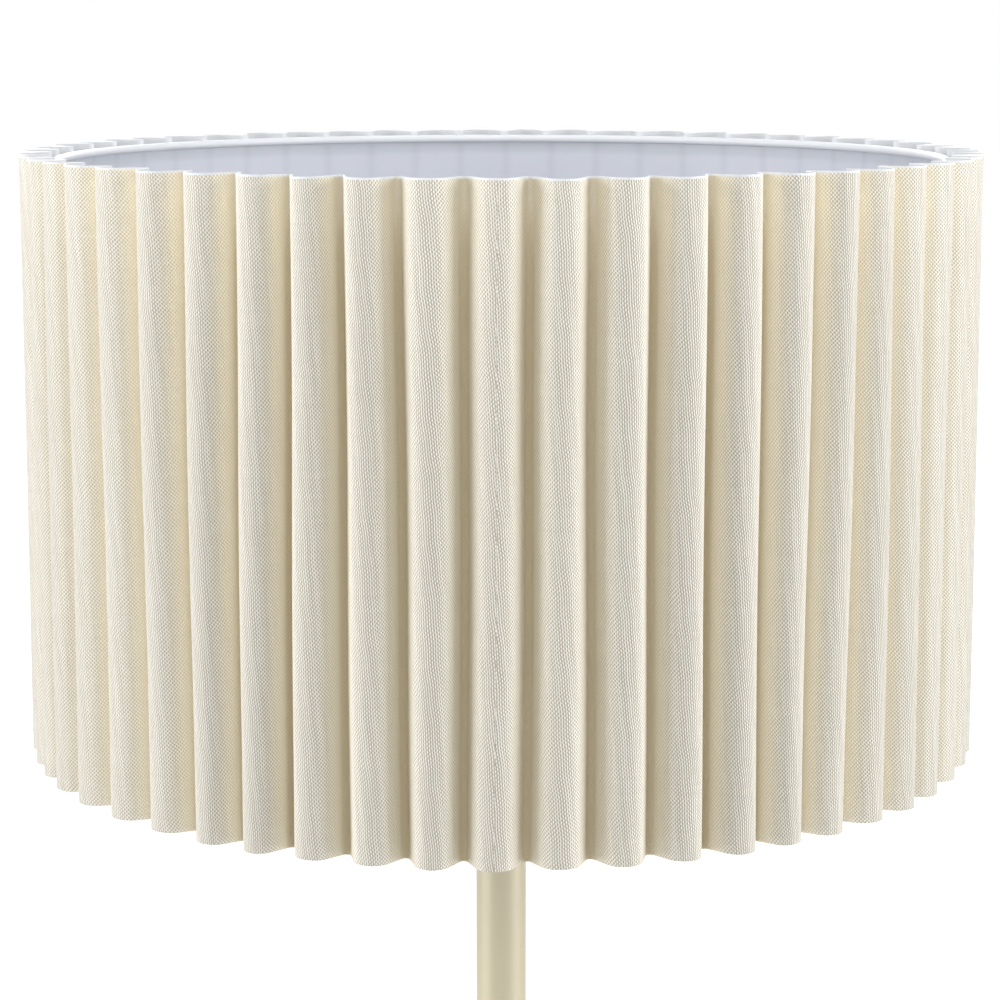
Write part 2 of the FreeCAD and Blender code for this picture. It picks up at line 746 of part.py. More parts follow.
def make_bulb_led_board():
    """Round board with a ring of light chips, resting on the ledge in the mouth of the body."""
    top = bulb_rim_z + board_thickness
    board = Part.makeCylinder(board_radius, board_thickness, FreeCAD.Vector(0, 0, bulb_rim_z))
    for index in range(led_chips):
        corner = FreeCAD.Vector(board_radius * 0.62, -led_chip_side / 2, top)
        chip = Part.makeBox(led_chip_side, led_chip_side, led_chip_height, corner)
        chip.rotate(ORIGIN, UP, 360.0 * index / led_chips)
        board = board.fuse(chip)
    return board


def make_bulb_dome():
    """Frosted dome: a short skirt, swelling into a round top."""
    outer = Part.makeSphere(dome_outer, FreeCAD.Vector(0, 0, dome_centre_z))
    straight = Part.makeCylinder(dome_outer, dome_straight, FreeCAD.Vector(0, 0, bulb_rim_z))
    outer = outer.fuse(straight)
    bore = dome_outer - dome_wall
    inner = Part.makeSphere(bore, FreeCAD.Vector(0, 0, dome_centre_z))
    inner = inner.fuse(Part.makeCylinder(bore, dome_straight, FreeCAD.Vector(0, 0, bulb_rim_z)))
    dome = outer.cut(inner)
    size = 4 * dome_outer
    below = Part.makeBox(size, size, size, FreeCAD.Vector(-size / 2, -size / 2, bulb_rim_z - size))
    return dome.cut(below)


# --- every piece by name ----------------------------------------------------------------------
def pieces():
    """Name and solid of every separate piece of the lamp."""
    yield "base_pad", make_base_pad()
    yield "base_weight", make_base_weight()
    yield "base_cover", make_base_cover()
    yield "cord_bushing", make_cord_bushing()
    yield "base_nipple", make_base_nipple()
    yield "base_washer", make_base_washer()
    yield "base_lock_washer", make_base_lock_washer()
    yield "base_nut", make_base_nut()
    yield "base_collar", make_base_collar()
    for section, name in enumerate(("lower", "middle", "upper")):
        bottom = pole_foot + section * section_length
        top = bottom + section_length
        yield f"pole_{name}", make_pole_tube(section)
        yield f"pole_{name}_foot_insert", make_pole_insert(bottom)
        yield f"pole_{name}_head_insert", make_pole_insert(top - insert_height)
    yield "lower_joint_stud", make_joint_stud(pole_foot + section_length)
    yield "upper_joint_stud", make_joint_stud(pole_foot + 2 * section_length)
    yield "pole_top_cap", make_pole_top_cap()
    yield "holder_nipple", make_holder_nipple()
    yield "holder_cap", make_holder_cap()
    yield "holder_set_screw", make_holder_set_screw()
    yield "holder_lock_nut", make_holder_lock_nut()
    yield "holder_shell", make_holder_shell()
    yield "holder_core", make_holder_core()
    yield "holder_sleeve", make_holder_sleeve()
    yield "holder_screw_shell", make_holder_screw_shell()
    yield "holder_centre_contact", make_holder_centre_contact()
    yield "holder_terminal_screws", make_holder_terminal_screws()
    yield "shade_ring_nut", make_shade_ring_nut()
    yield "switch_bushing", make_switch_bushing()
    yield "switch_stem", make_switch_stem()
    yield "switch_knob", make_switch_knob()
    yield "fitter_hub", make_fitter_hub()
    for index in range(fitter_arms):
        yield f"fitter_arm_{index + 1}", make_fitter_arm(index)
    yield "top_ring_wire", make_ring_wire(top_ring_z)
    yield "bottom_ring_wire", make_ring_wire(bottom_ring_z)
    yield "top_edge_roll", make_edge_roll(top_ring_z, -60.0)
    yield "bottom_edge_roll", make_bottom_edge_roll()
    yield "shade_liner", make_shade_liner()
    yield "pleated_cover", make_pleated_cover()
    yield "bulb_tip_contact", make_bulb_tip_contact()
    yield "bulb_tip_insulator", make_bulb_tip_insulator()
    yield "bulb_screw_cap", make_bulb_screw_cap()
    yield "bulb_body", make_bulb_body()
    yield "bulb_led_board", make_bulb_led_board()
    yield "bulb_dome", make_bulb_dome()


os.makedirs("parts", exist_ok=True)
for node, shape in pieces():
    shape.exportStep(f"parts/{node}.step")
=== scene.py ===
"""Floor lamp with a pleated drum shade: its cloth, finishes and studio, laid out as an add-on.

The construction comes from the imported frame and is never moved. This script makes the pleated
cloth cover, the liner with its top rolled edge and every finish, in metres.
"""
import math

import bpy
import numpy as np
from bpy.props import FloatProperty, FloatVectorProperty, IntProperty, PointerProperty
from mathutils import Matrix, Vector


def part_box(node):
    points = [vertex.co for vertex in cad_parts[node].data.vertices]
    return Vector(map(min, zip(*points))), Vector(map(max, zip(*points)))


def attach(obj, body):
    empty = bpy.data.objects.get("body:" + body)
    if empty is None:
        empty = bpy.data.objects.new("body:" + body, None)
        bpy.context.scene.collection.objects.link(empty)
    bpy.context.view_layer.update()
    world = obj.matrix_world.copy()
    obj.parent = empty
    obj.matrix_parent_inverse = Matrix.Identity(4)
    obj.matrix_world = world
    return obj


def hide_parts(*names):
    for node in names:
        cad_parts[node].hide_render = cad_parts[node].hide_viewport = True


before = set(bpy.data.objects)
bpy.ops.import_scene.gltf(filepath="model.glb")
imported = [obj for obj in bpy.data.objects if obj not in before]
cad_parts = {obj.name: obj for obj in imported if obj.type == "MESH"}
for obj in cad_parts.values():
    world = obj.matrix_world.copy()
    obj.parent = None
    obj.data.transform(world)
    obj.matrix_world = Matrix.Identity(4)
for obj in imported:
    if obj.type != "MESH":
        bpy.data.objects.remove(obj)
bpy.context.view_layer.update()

bl_info = {
    "name": "Pleated Drum Floor Lamp",
    "version": (1, 0, 0),
    "blender": (4, 5, 0),
    "location": "3D View > Sidebar > Lamp",
    "description": "Builds the cloth, finishes and studio of a pleated drum floor lamp",
    "category": "Object",
}

MM = 0.001
TURN = 2 * math.pi
COVER_LOW, COVER_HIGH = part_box("pleated_cover")
LINER_LOW, LINER_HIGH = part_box("shade_liner")
ROLL_LOW, ROLL_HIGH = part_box("top_edge_roll")
FOOT_LOW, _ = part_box("bottom_edge_roll")
COVER_HEIGHT = COVER_HIGH.z - COVER_LOW.z
SHADE_MIDDLE = Vector((0.0, 0.0, (COVER_LOW.z + COVER_HIGH.z) / 2))
BEAD = (ROLL_HIGH.z - ROLL_LOW.z) / 2    # radius of a rolled edge's section
LINER_SHEET = 0.8 * MM
CREST_SLACK = 0.35 * MM                  # how far a crest stands in from its full radius, on average
SEAM = 0.4                               # share of a cut edge that is canvas; the rest is backing
CREASE = math.radians(50)                # faces that meet at more than this shade crisp

COVER_ROWS = 25                          # rows of points up the cover
CREST_STEPS = 9                          # points of half a crest, ends counted
FLANK_STEPS = 5                          # points of a flank, ends counted
VALLEY_STEPS = 7                         # points of half a valley, ends counted
LINER_ROWS = 9                           # rows of points up the liner
BEAD_STEPS = 16                          # points round the top roll's section
STEPS_PER_PLEAT = 12                     # points round the liner and the top roll, for each pleat

WHITE = (1.0, 1.0, 1.0)
LENS_SHIFT = (-0.0012, -0.04)            # sideways and up, as shares of the frame
FLOOR_SIDE = 60.0
FLOOR_GREY = (0.82, 0.82, 0.82, 1.0)
FLOOR_GLOW = 0.1                         # light that the floor adds by the base, full white being 1
FLOOR_FADE = (0.3, 2.6)                  # from the axis, where that light starts to grow and is full


# --- settings ---------------------------------------------------------------------------------
class ClothSettings(bpy.types.PropertyGroup):
    """Sizes and colours of the pleated cover."""
    radius: FloatProperty(name="Crest radius", description="Axis to the crests of the pleats",
                          default=COVER_HIGH.y, unit="LENGTH")
    pleats: IntProperty(name="Pleats", description="Pleats round the shade", default=53)
    depth: FloatProperty(name="Pleat depth", description="Crest to valley on the outer face",
                         default=12.8 * MM, unit="LENGTH")
    crest: FloatProperty(name="Crest curve", description="Radius of a crest on the outer face",
                         default=7.4 * MM, unit="LENGTH")
    valley: FloatProperty(name="Valley curve", description="Radius of a valley on the outer face",
                          default=1.6 * MM, unit="LENGTH")
    thickness: FloatProperty(name="Thickness", description="Cloth with its backing",
                             default=0.8 * MM, unit="LENGTH")
    first_crest: FloatProperty(name="First crest", description="Angle of the crest at the front",
                               default=math.radians(-90.7), subtype="ANGLE")
    warp_pitch: FloatProperty(name="Warp pitch", description="Upright thread to upright thread",
                              default=0.74 * MM, unit="LENGTH")
    slit_pitch: FloatProperty(name="Slit pitch", description="Upright slit to slit on a crest",
                              default=0.89 * MM, unit="LENGTH")
    weft_pitch: FloatProperty(name="Weft pitch", description="Level thread to level thread",
                              default=0.78 * MM, unit="LENGTH")
    lean: FloatProperty(name="Lean", description="Threads off the upright, for each metre of height",
                        default=0.095)
    thread: FloatVectorProperty(name="Thread", description="Colour of the top of a thread",
                                subtype="COLOR", default=(1.0, 0.985, 0.92))
    gap: FloatVectorProperty(name="Gap", description="Colour between the threads",
                             subtype="COLOR", default=(0.475, 0.427, 0.347))
    # painted shade: the cloth turns darker and yellower from crest to valley, for the shade in the
    # folds
    flank: FloatVectorProperty(name="Flank", description="Tint gained from crest to valley",
                               subtype="COLOR", default=(1.0, 0.95, 0.82))
    # painted shade: darker tint at the bottom of each fold
    fold: FloatVectorProperty(name="Fold", description="Darker tint at the bottom of a fold",
                              subtype="COLOR", default=(0.82, 0.76, 0.64))
    # painted highlight: paler tint halfway down each flank, for light falling on the flanks
    dent_and_flank_light: FloatVectorProperty(name="Painted flank light", description="Paler tint halfway down a flank",
                                 subtype="COLOR", default=(1.13, 1.125, 1.115), max=2.0)
    # how far up a fold its painted shade reaches
    fold_reach: FloatProperty(name="Fold reach", description="Share of the depth that a fold darkens",
                              default=0.17)
    backing: FloatVectorProperty(name="Backing", description="Colour of the white backing",
                                 subtype="COLOR", default=(0.85, 0.865, 0.89))
    fray: FloatProperty(name="Cut edge", description="Height of the white cut edge at the top",
                        default=0.75 * MM, unit="LENGTH")


class LinerSettings(bpy.types.PropertyGroup):
    """Sizes and colours of the liner and its rolled edges."""
    dent: FloatProperty(name="Glue line", description="How far a glued valley presses the liner in",
                        default=0.12 * MM, unit="LENGTH")
    pucker: FloatProperty(name="Pucker", description="Unevenness of a rolled edge",
                          default=0.07 * MM, unit="LENGTH")
    hem: FloatProperty(name="Hem", description="Depth of the turned-in hem under the top roll",
                       default=5.0 * MM, unit="LENGTH")
    # turned-in hem, greyer both for its own fold of sheet and as painted shade under the top roll
    hem_and_shade_tint: FloatVectorProperty(name="Hem and shade tint", description="Share of the sheet's colour on the hem",
                                  subtype="COLOR", default=(0.90, 0.905, 0.90))
    # painted shadow: the liner is darker just under the top roll
    roll_shadow_tint: FloatVectorProperty(name="Roll shadow tint", description="Share of it close under the top roll",
                                   subtype="COLOR", default=(0.91, 0.91, 0.91))
    # glue mark and painted shade: darker lines on the liner where each valley of the cover meets it
    glue_line_shade_tint: FloatVectorProperty(name="Glue line shade tint", description="Share of it where a valley is glued",
                                   subtype="COLOR", default=(0.94, 0.94, 0.945))
    # painted shade: share of a roll's colour on its underside
    underside_shade_tint: FloatVectorProperty(name="Underside shade tint", description="Share of a roll's colour underneath",
                                   subtype="COLOR", default=(0.72, 0.72, 0.72))
    # painted shade: a white sheet coloured darker and bluer than the backing, for the shade and bluish
    # light inside the drum
    sheet: FloatVectorProperty(name="Sheet", description="Colour of the liner",
                               subtype="COLOR", default=(0.68, 0.70, 0.765))
    roll: FloatVectorProperty(name="Roll", description="Colour of the rolled edge",
                              subtype="COLOR", default=(0.86, 0.875, 0.91))


class FinishSettings(bpy.types.PropertyGroup):
    """Colours of the hard parts."""
    paint: FloatVectorProperty(name="Paint", description="Champagne paint of pole and base",
                               subtype="COLOR", default=(0.48, 0.433, 0.305))
    moulding: FloatVectorProperty(name="Moulding", description="Ivory plastic of the lampholder",
                                  subtype="COLOR", default=(0.80, 0.765, 0.67))
    wire: FloatVectorProperty(name="Wire", description="White enamel of the fitter",
                              subtype="COLOR", default=(0.82, 0.82, 0.80))
    brass: FloatVectorProperty(name="Brass", description="Brass of the contacts",
                               subtype="COLOR", default=(0.80, 0.60, 0.27))
    zinc: FloatVectorProperty(name="Zinc", description="Zinc plate on nuts, washers and rods",
                              subtype="COLOR", default=(0.62, 0.63, 0.64))
    iron: FloatVectorProperty(name="Iron", description="Black dip on the cast weight",
                              subtype="COLOR", default=(0.055, 0.055, 0.058))
    foam: FloatVectorProperty(name="Foam", description="Pad under the base",
                              subtype="COLOR", default=(0.045, 0.045, 0.047))
    steatite: FloatVectorProperty(name="Steatite", description="Fired core of the lampholder",
                                  subtype="COLOR", default=(0.82, 0.80, 0.75))
    pressboard: FloatVectorProperty(name="Pressboard", description="Sleeve round the screw shell",
                                    subtype="COLOR", default=(0.10, 0.08, 0.065))
    diffuser: FloatVectorProperty(name="Diffuser", description="Frosted dome of the bulb",
                                  subtype="COLOR", default=(0.92, 0.915, 0.895))
    housing: FloatVectorProperty(name="Housing", description="White body of the bulb",
                                 subtype="COLOR", default=(0.84, 0.84, 0.82))
    nickel: FloatVectorProperty(name="Nickel", description="Plated cap of the bulb",
                                subtype="COLOR", default=(0.70, 0.68, 0.64))
    glass: FloatVectorProperty(name="Glass", description="Black insulator in the bulb's cap",
                               subtype="COLOR", default=(0.02, 0.02, 0.022))
    board: FloatVectorProperty(name="Board", description="White board that carries the bulb's diodes",
                               subtype="COLOR", default=(0.84, 0.84, 0.81))


class StudioSettings(bpy.types.PropertyGroup):
    """Camera, lamps and floor."""
    distance: FloatProperty(name="Distance", description="Camera to the lamp's axis",
                            default=1.1828, unit="LENGTH")
    height: FloatProperty(name="Height", description="Camera above the floor",
                          default=1.5988, unit="LENGTH")
    lens: FloatProperty(name="Lens", description="Focal length in millimetres", default=99.78)
    pitch: FloatProperty(name="Pitch", description="Camera's tilt below the horizon",
                         default=0.1612, subtype="ANGLE")
    side_power: FloatProperty(name="Side boxes", description="Power of each side softbox",
                              default=44.5, unit="POWER")
    front_power: FloatProperty(name="Front box", description="Power of the softbox at the front",
                               default=19.0, unit="POWER")
    top_power: FloatProperty(name="Top box", description="Power of the overhead softbox",
                             default=22.0, unit="POWER")
    back_power: FloatProperty(name="Back box", description="Power of the softbox behind",
                              default=22.0, unit="POWER")
    ambient: FloatProperty(name="Ambient", description="Strength of the white surroundings",
                           default=0.2)


# --- shader helpers ---------------------------------------------------------------------------
class Tree:
    """Nodes being added to one node tree and joined."""

    def __init__(self, tree):
        self.tree = tree

    def node(self, kind, **settings):
        made = self.tree.nodes.new("ShaderNode" + kind)
        for name, value in settings.items():
            setattr(made, name, value)
        return made

    def feed(self, socket, value):
        """Links an output to a socket, or sets a plain number on it."""
        if isinstance(value, bpy.types.NodeSocket):
            self.tree.links.new(value, socket)
        else:
            socket.default_value = value

    def math(self, operation, first, second=0.0):
        made = self.node("Math", operation=operation)
        self.feed(made.inputs[0], first)
        self.feed(made.inputs[1], second)
        return made.outputs[0]

    def place(self, source="Object"):
        """The point being shaded, in the piece's own space or on its flat pattern."""
        return self.node("TexCoord").outputs[source]

    def split(self, vector):
        made = self.node("SeparateXYZ")
        self.feed(made.inputs[0], vector)
        return made.outputs

    def join(self, x=0.0, y=0.0, z=0.0):
        made = self.node("CombineXYZ")
        for socket, value in zip(made.inputs, (x, y, z)):
            self.feed(socket, value)
        return made.outputs[0]

    def sum(self, first, *others):
        for other in others:
            first = self.math("ADD", first, other)
        return first

    def ripple(self, x, y, per_x, per_y, size, start):
        """A wave of a given size over x and y; per_x and per_y are its radians per metre."""
        turn = self.sum(self.math("MULTIPLY", x, per_x), self.math("MULTIPLY", y, per_y), start)
        return self.math("MULTIPLY", self.math("SINE", turn), size)

    def noise(self, vector, scale, detail=2.0, roughness=0.5):
        made = self.node("TexNoise")
        self.feed(made.inputs["Vector"], vector)
        made.inputs["Scale"].default_value = scale
        made.inputs["Detail"].default_value = detail
        made.inputs["Roughness"].default_value = roughness
        return made.outputs["Fac"]

    def spread(self, value, low, high, start=0.0, end=1.0):
        """Maps start..end to low..high."""
        made = self.node("MapRange")
        self.feed(made.inputs["Value"], value)
        made.inputs["From Min"].default_value = start
        made.inputs["From Max"].default_value = end
        made.inputs["To Min"].default_value = low
        made.inputs["To Max"].default_value = high
        return made.outputs["Result"]

    def blend(self, share, first, second):
        """Mixes two colours; a colour is an output or three numbers."""
        made = self.node("Mix", data_type="RGBA")
        self.feed(made.inputs["Factor"], share)
        for socket, value in (("A", first), ("B", second)):
            if not isinstance(value, bpy.types.NodeSocket):
                value = (*value, 1.0)
            colour_input = [i for i in made.inputs if i.name == socket and i.type == "RGBA"][0]
            self.feed(colour_input, value)
        return [o for o in made.outputs if o.type == "RGBA"][0]

    def times(self, first, second):
        """One colour multiplied by another."""
        made = self.node("VectorMath", operation="MULTIPLY")
        self.feed(made.inputs[0], first)
        self.feed(made.inputs[1], second)
        return made.outputs[0]

    def shade(self, colour, low, high, amount):
        """A colour made darker or lighter by a 0..1 value."""
        dark = tuple(channel * low for channel in colour)
        light = tuple(min(1.0, channel * high) for channel in colour)
        return self.blend(amount, dark, light)

    def eye_rays(self):
        """1 for what the camera sees straight or in a mirror or glass, 0 for light on the lamp."""
        path = self.node("LightPath").outputs
        seen = self.math("MAXIMUM", path["Is Camera Ray"], path["Is Glossy Ray"])
        return self.math("MAXIMUM", seen, path["Is Transmission Ray"])


class Finish(Tree):
    """A node material being put together around its Principled shader."""

    def __init__(self, name, **sockets):
        self.material = bpy.data.materials.new(name)
        self.material.use_nodes = True
        super().__init__(self.material.node_tree)
        self.shader = self.tree.nodes["Principled BSDF"]
        for socket, value in sockets.items():
            self.shader.inputs[socket.replace("_", " ")].default_value = value

    def relief(self, height, distance, strength=1.0):
        bump = self.node("Bump")
        bump.inputs["Strength"].default_value = strength
        bump.inputs["Distance"].default_value = distance
        self.feed(bump.inputs["Height"], height)
        self.feed(self.shader.inputs["Normal"], bump.outputs["Normal"])

    def colour(self, value):
        self.feed(self.shader.inputs["Base Color"], value)

    def roughness(self, value):
        self.feed(self.shader.inputs["Roughness"], value)


def dressed(piece, material):
    """Gives a piece or CAD node one finish."""
    piece.data.materials.clear()
    piece.data.materials.append(material)
    return piece


# --- finishes ---------------------------------------------------------------------------------
def thread_paths(made, cloth, flat_u, flat_v):
    """Where a point lies across the upright threads and across the level ones; both wander."""
    lean = made.math("MULTIPLY", flat_v, cloth.lean)
    around = made.sum(flat_u, lean, made.ripple(flat_u, flat_v, 60.0, 140.0, 0.25 * MM, 0.0),
                      made.ripple(flat_u, flat_v, -230.0, 410.0, 0.12 * MM, 1.7))
    up = made.sum(flat_v, made.ripple(flat_u, flat_v, 190.0, 50.0, 0.25 * MM, 0.6),
                  made.ripple(flat_u, flat_v, 520.0, -140.0, 0.10 * MM, 2.9))
    return around, up


def weave_heights(made, cloth, around, up, opened):
    """Height of the threads, about -1 to 1, with upright slits where a crest opens the weave."""
    peak = math.pi / 2
    rib = made.ripple(around, up, TURN / cloth.slit_pitch, 0.0, 1.0, peak)
    rib = made.math("MULTIPLY", rib, made.spread(opened, 0.15, 0.6))
    over = made.ripple(around, up, math.pi / cloth.warp_pitch, 0.0, 1.0, peak)
    under = made.ripple(around, up, 0.0, math.pi / cloth.weft_pitch, 1.0, peak)
    under = made.math("MULTIPLY", under, made.spread(opened, 0.72, 0.4))
    return made.sum(rib, made.math("MULTIPLY", over, under))


def uneven_threads(made, cloth, around, up):
    """Thick and thin threads: a share added along a whole upright thread, and along a level one."""
    along = 30.0                             # changes of thickness along a thread, per metre
    ends = made.noise(made.join(made.math("MULTIPLY", around, 1 / cloth.warp_pitch),
                                made.math("MULTIPLY", up, along)), 1.0, 1.0)
    picks = made.noise(made.join(made.math("MULTIPLY", around, along),
                                 made.math("MULTIPLY", up, 1 / cloth.weft_pitch), 7.0), 1.0, 1.0)
    return made.sum(made.spread(ends, -0.2, 0.2), made.spread(picks, -0.1, 0.1))


def painted_pleat_shading(made, cloth, out, rise):
    """Painted shade from the crest down into a fold, and painted light that makes the folds lighter
    near the top edge and the whole cloth paler towards the top.
    """
    # painted light: folds are lighter close to the top edge, where light falls in
    top_light = made.math("MULTIPLY", made.math("POWER", rise, 22.0), 0.45)
    # painted shade mask at the bottom of each fold, held back near the top edge by painted light
    shallow = made.spread(made.sum(out, top_light), 0.0, 1.0, 0.0, cloth.fold_reach)
    # painted shade: the flank tint darkens from crest to valley and the fold tint darkens the bottom of
    # each fold
    tint = made.times(made.blend(out, cloth.flank, WHITE), made.blend(shallow, cloth.fold, WHITE))
    # painted highlight mask: the middle of each flank, where the paler tint goes
    side = made.math("MULTIPLY", made.spread(out, 0.0, 1.0, 0.05, 0.3),
                     made.spread(out, 1.0, 0.0, 0.45, 0.85))
    tint = made.times(tint, made.blend(side, WHITE, cloth.dent_and_flank_light))
    # painted light from above: the whole cloth grows paler towards the top edge
    fade = made.sum(0.86, made.math("MULTIPLY", rise, 0.05),
                    made.math("MULTIPLY", made.math("POWER", rise, 7.0), 0.09))
    return made.times(tint, made.join(fade, fade, fade))


def canvas_finish(cloth):
    """Plain-weave canvas on a flat pattern: U runs round the pleats, V runs up, in metres."""
    made = Finish("cream_canvas", Roughness=0.9, Sheen_Weight=0.12, Sheen_Roughness=0.5)
    flat_u, flat_v, _ = made.split(made.place("UV"))
    x, y, _ = made.split(made.place())
    axis = made.node("VectorMath", operation="LENGTH")
    made.feed(axis.inputs[0], made.join(x, y))
    out = made.spread(axis.outputs["Value"], 0.0, 1.0, cloth.radius - cloth.depth, cloth.radius)
    opened = made.spread(out, 0.0, 1.0, 0.8, 1.0)
    around, up = thread_paths(made, cloth, flat_u, flat_v)
    weave = weave_heights(made, cloth, around, up, opened)
    contrast = made.spread(out, 0.1, 1.05, 0.12, 0.85)
    pattern = made.sum(weave, uneven_threads(made, cloth, around, up))
    share = made.sum(made.spread(opened, 0.58, 0.32), made.math("MULTIPLY", contrast, pattern))
    rise = made.math("DIVIDE", flat_v, COVER_HEIGHT)
    threads = made.times(made.blend(share, cloth.gap, cloth.thread), painted_pleat_shading(made, cloth, out, rise))
    cut_edge = made.sum(flat_v, made.ripple(flat_u, flat_v, 2900.0, 0.0, 0.08 * MM, 0.0))
    frayed = made.math("GREATER_THAN", cut_edge, COVER_HEIGHT - cloth.fray)
    made.colour(made.blend(frayed, threads, cloth.backing))
    made.relief(weave, 0.10 * MM, 0.8)
    return made.material


def backing_finish(cloth):
    """Smooth white film laminated to the back of the canvas."""
    made = Finish("white_backing", Roughness=0.55)
    cloudy = made.noise(made.place(), 30.0, 3.0)
    made.colour(made.shade(cloth.backing, 0.97, 1.03, cloudy))
    made.relief(made.noise(made.place(), 900.0, 2.0), 0.03 * MM, 0.5)
    return made.material


def liner_finish(liner, cloth):
    """White sheet, coloured darker and bluer as painted shade inside the drum, with a greyer turned-in
    hem that also stands for shade, a painted shadow close under the top roll, and darker lines where
    valleys are glued that are partly painted shade of the pleats.
    """
    made = Finish("liner_sheet", Roughness=0.5)
    x, y, z = made.split(made.place())
    turn = made.math("ARCTAN2", y, x)
    valley = -cloth.first_crest * cloth.pleats - math.pi / 2
    mark = made.math("ADD", made.ripple(turn, turn, float(cloth.pleats), 0.0, 0.5, valley), 0.5)
    mark = made.math("POWER", mark, 10.0)
    cloudy = made.noise(made.place(), 12.0, 3.0)
    below = made.math("SUBTRACT", LINER_HIGH.z, z)
    edge = made.spread(made.noise(made.place(), 55.0, 2.0), 0.75 * liner.hem, 1.25 * liner.hem)
    free = made.spread(made.math("SUBTRACT", below, edge), 0.0, 1.0, -1.2 * MM, 1.2 * MM)
    # painted shadow close under the top roll
    roll_shadow = made.spread(below, 0.0, 1.0, 0.5 * MM, 3.0 * MM)
    sheet = made.shade(liner.sheet, 0.97, 1.03, cloudy)
    # darker lines at the valleys: glue marks, partly painted shade of the pleats
    sheet = made.times(sheet, made.blend(mark, WHITE, liner.glue_line_shade_tint))
    # hem band: real turned edge, its greyer tint partly painted shade under the roll
    sheet = made.times(sheet, made.blend(free, liner.hem_and_shade_tint, WHITE))
    made.colour(made.times(sheet, made.blend(roll_shadow, liner.roll_shadow_tint, WHITE)))
    made.relief(made.noise(made.place(), 700.0, 3.0), 0.03 * MM, 0.6)
    return made.material


def tape_finish(name, liner, low):
    """White tape of a rolled edge, faintly cloudy, with painted shade on its underside; low is its
    foot.
    """
    made = Finish(name, Roughness=0.42)
    _, _, z = made.split(made.place())
    even_tape = made.shade(liner.roll, 0.97, 1.03, made.noise(made.place(), 40.0, 3.0))
    # painted shade, darker towards the underside of the roll
    under = made.spread(z, 0.0, 1.0, low, low + BEAD)
    made.colour(made.times(even_tape, made.blend(under, liner.underside_shade_tint, WHITE)))
    made.relief(made.noise(made.place(), 600.0, 3.0), 0.04 * MM, 0.6)
    return made.material


def paint_finish(name, colour, metallic, roughness):
    """Sprayed paint: slight orange peel, fine flake and a little cloudiness in the gloss."""
    made = Finish(name, Metallic=metallic)
    place = made.place()
    flake = made.noise(place, 2600.0, 1.0)
    made.colour(made.shade(colour, 0.94, 1.05, flake))
    cloudy = made.noise(place, 35.0, 3.0)
    made.roughness(made.spread(cloudy, roughness - 0.03, roughness + 0.04))
    made.relief(made.noise(place, 420.0, 2.0), 0.02 * MM, 0.5)
    return made.material


def plated_finish(name, colour, roughness, turning=True):
    """Turned or drawn metal with rings of tool marks and a few dull patches."""
    made = Finish(name, Metallic=1.0)
    x, y, z = made.split(made.place())
    marks = made.noise(made.join(0.0, 0.0, z) if turning else made.join(x, y, 0.0), 2200.0, 2.0)
    dull = made.noise(made.place(), 60.0, 4.0)
    made.colour(made.shade(colour, 0.86, 1.04, dull))
    made.roughness(made.spread(dull, roughness - 0.06, roughness + 0.12))
    made.relief(marks, 0.02 * MM, 0.5)
    return made.material


def moulded_finish(name, colour, roughness, grain=0.02):
    """Moulded plastic or fired ceramic with a fine skin; grain is its depth in millimetres."""
    made = Finish(name)
    place = made.place()
    made.colour(made.shade(colour, 0.96, 1.03, made.noise(place, 80.0, 3.0)))
    made.roughness(made.spread(made.noise(place, 240.0, 2.0), roughness - 0.04, roughness + 0.05))
    made.relief(made.noise(place, 1500.0, 2.0), grain * MM, 0.5)
    return made.material


def iron_finish(colour):
    """Sand-cast iron, dipped black."""
    made = Finish("black_iron", Roughness=0.7, Metallic=0.3)
    place = made.place()
    made.colour(made.shade(colour, 0.7, 1.5, made.noise(place, 120.0, 4.0)))
    made.relief(made.noise(place, 650.0, 5.0, 0.65), 0.25 * MM, 0.9)
    return made.material


def foam_finish(colour):
    """Dark closed-cell foam pad."""
    made = Finish("foam", Roughness=0.92)
    cells = made.node("TexVoronoi")
    made.feed(cells.inputs["Vector"], made.place())
    cells.inputs["Scale"].default_value = 1300.0
    made.colour(made.shade(colour, 0.7, 1.6, cells.outputs["Distance"]))
    made.relief(cells.outputs["Distance"], 0.12 * MM, 0.8)
    return made.material


def frosted_finish(colour):
    """Frosted diffuser: white skin with light carried a little way under it."""
    made = Finish("frosted_dome", Roughness=0.35, Subsurface_Weight=0.3, Subsurface_Scale=0.001,
                  Subsurface_Radius=(1.0, 1.0, 0.95))
    place = made.place()
    made.colour(made.shade(colour, 0.98, 1.02, made.noise(place, 45.0, 2.0)))
    made.relief(made.noise(place, 1800.0, 2.0), 0.01 * MM, 0.4)
    return made.material


# --- mesh helpers -----------------------------------------------------------------------------
def new_piece(name, points, faces, body):
    """Smooth shaded mesh object from points and faces, which moves with a body of the lamp."""
    mesh = bpy.data.meshes.new(name)
    mesh.from_pydata([tuple(p) for p in points], [], [tuple(f) for f in faces])
    mesh.validate()
    mesh.shade_smooth()
    piece = bpy.data.objects.new(name, mesh)
    bpy.context.scene.collection.objects.link(piece)
    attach(piece, body)
    return piece


def ring_faces(columns, loops):
    """Quads of a closed tube of points: loops follow each other and the last meets the first."""
    column = np.arange(columns)
    after = (column + 1) % columns
    quads = []
    for loop in range(loops):
        this = loop * columns
        following = ((loop + 1) % loops) * columns
        corners = [this + column, this + after, following + after, following + column]
        quads.append(np.stack(corners, 1))
    return np.concatenate(quads)


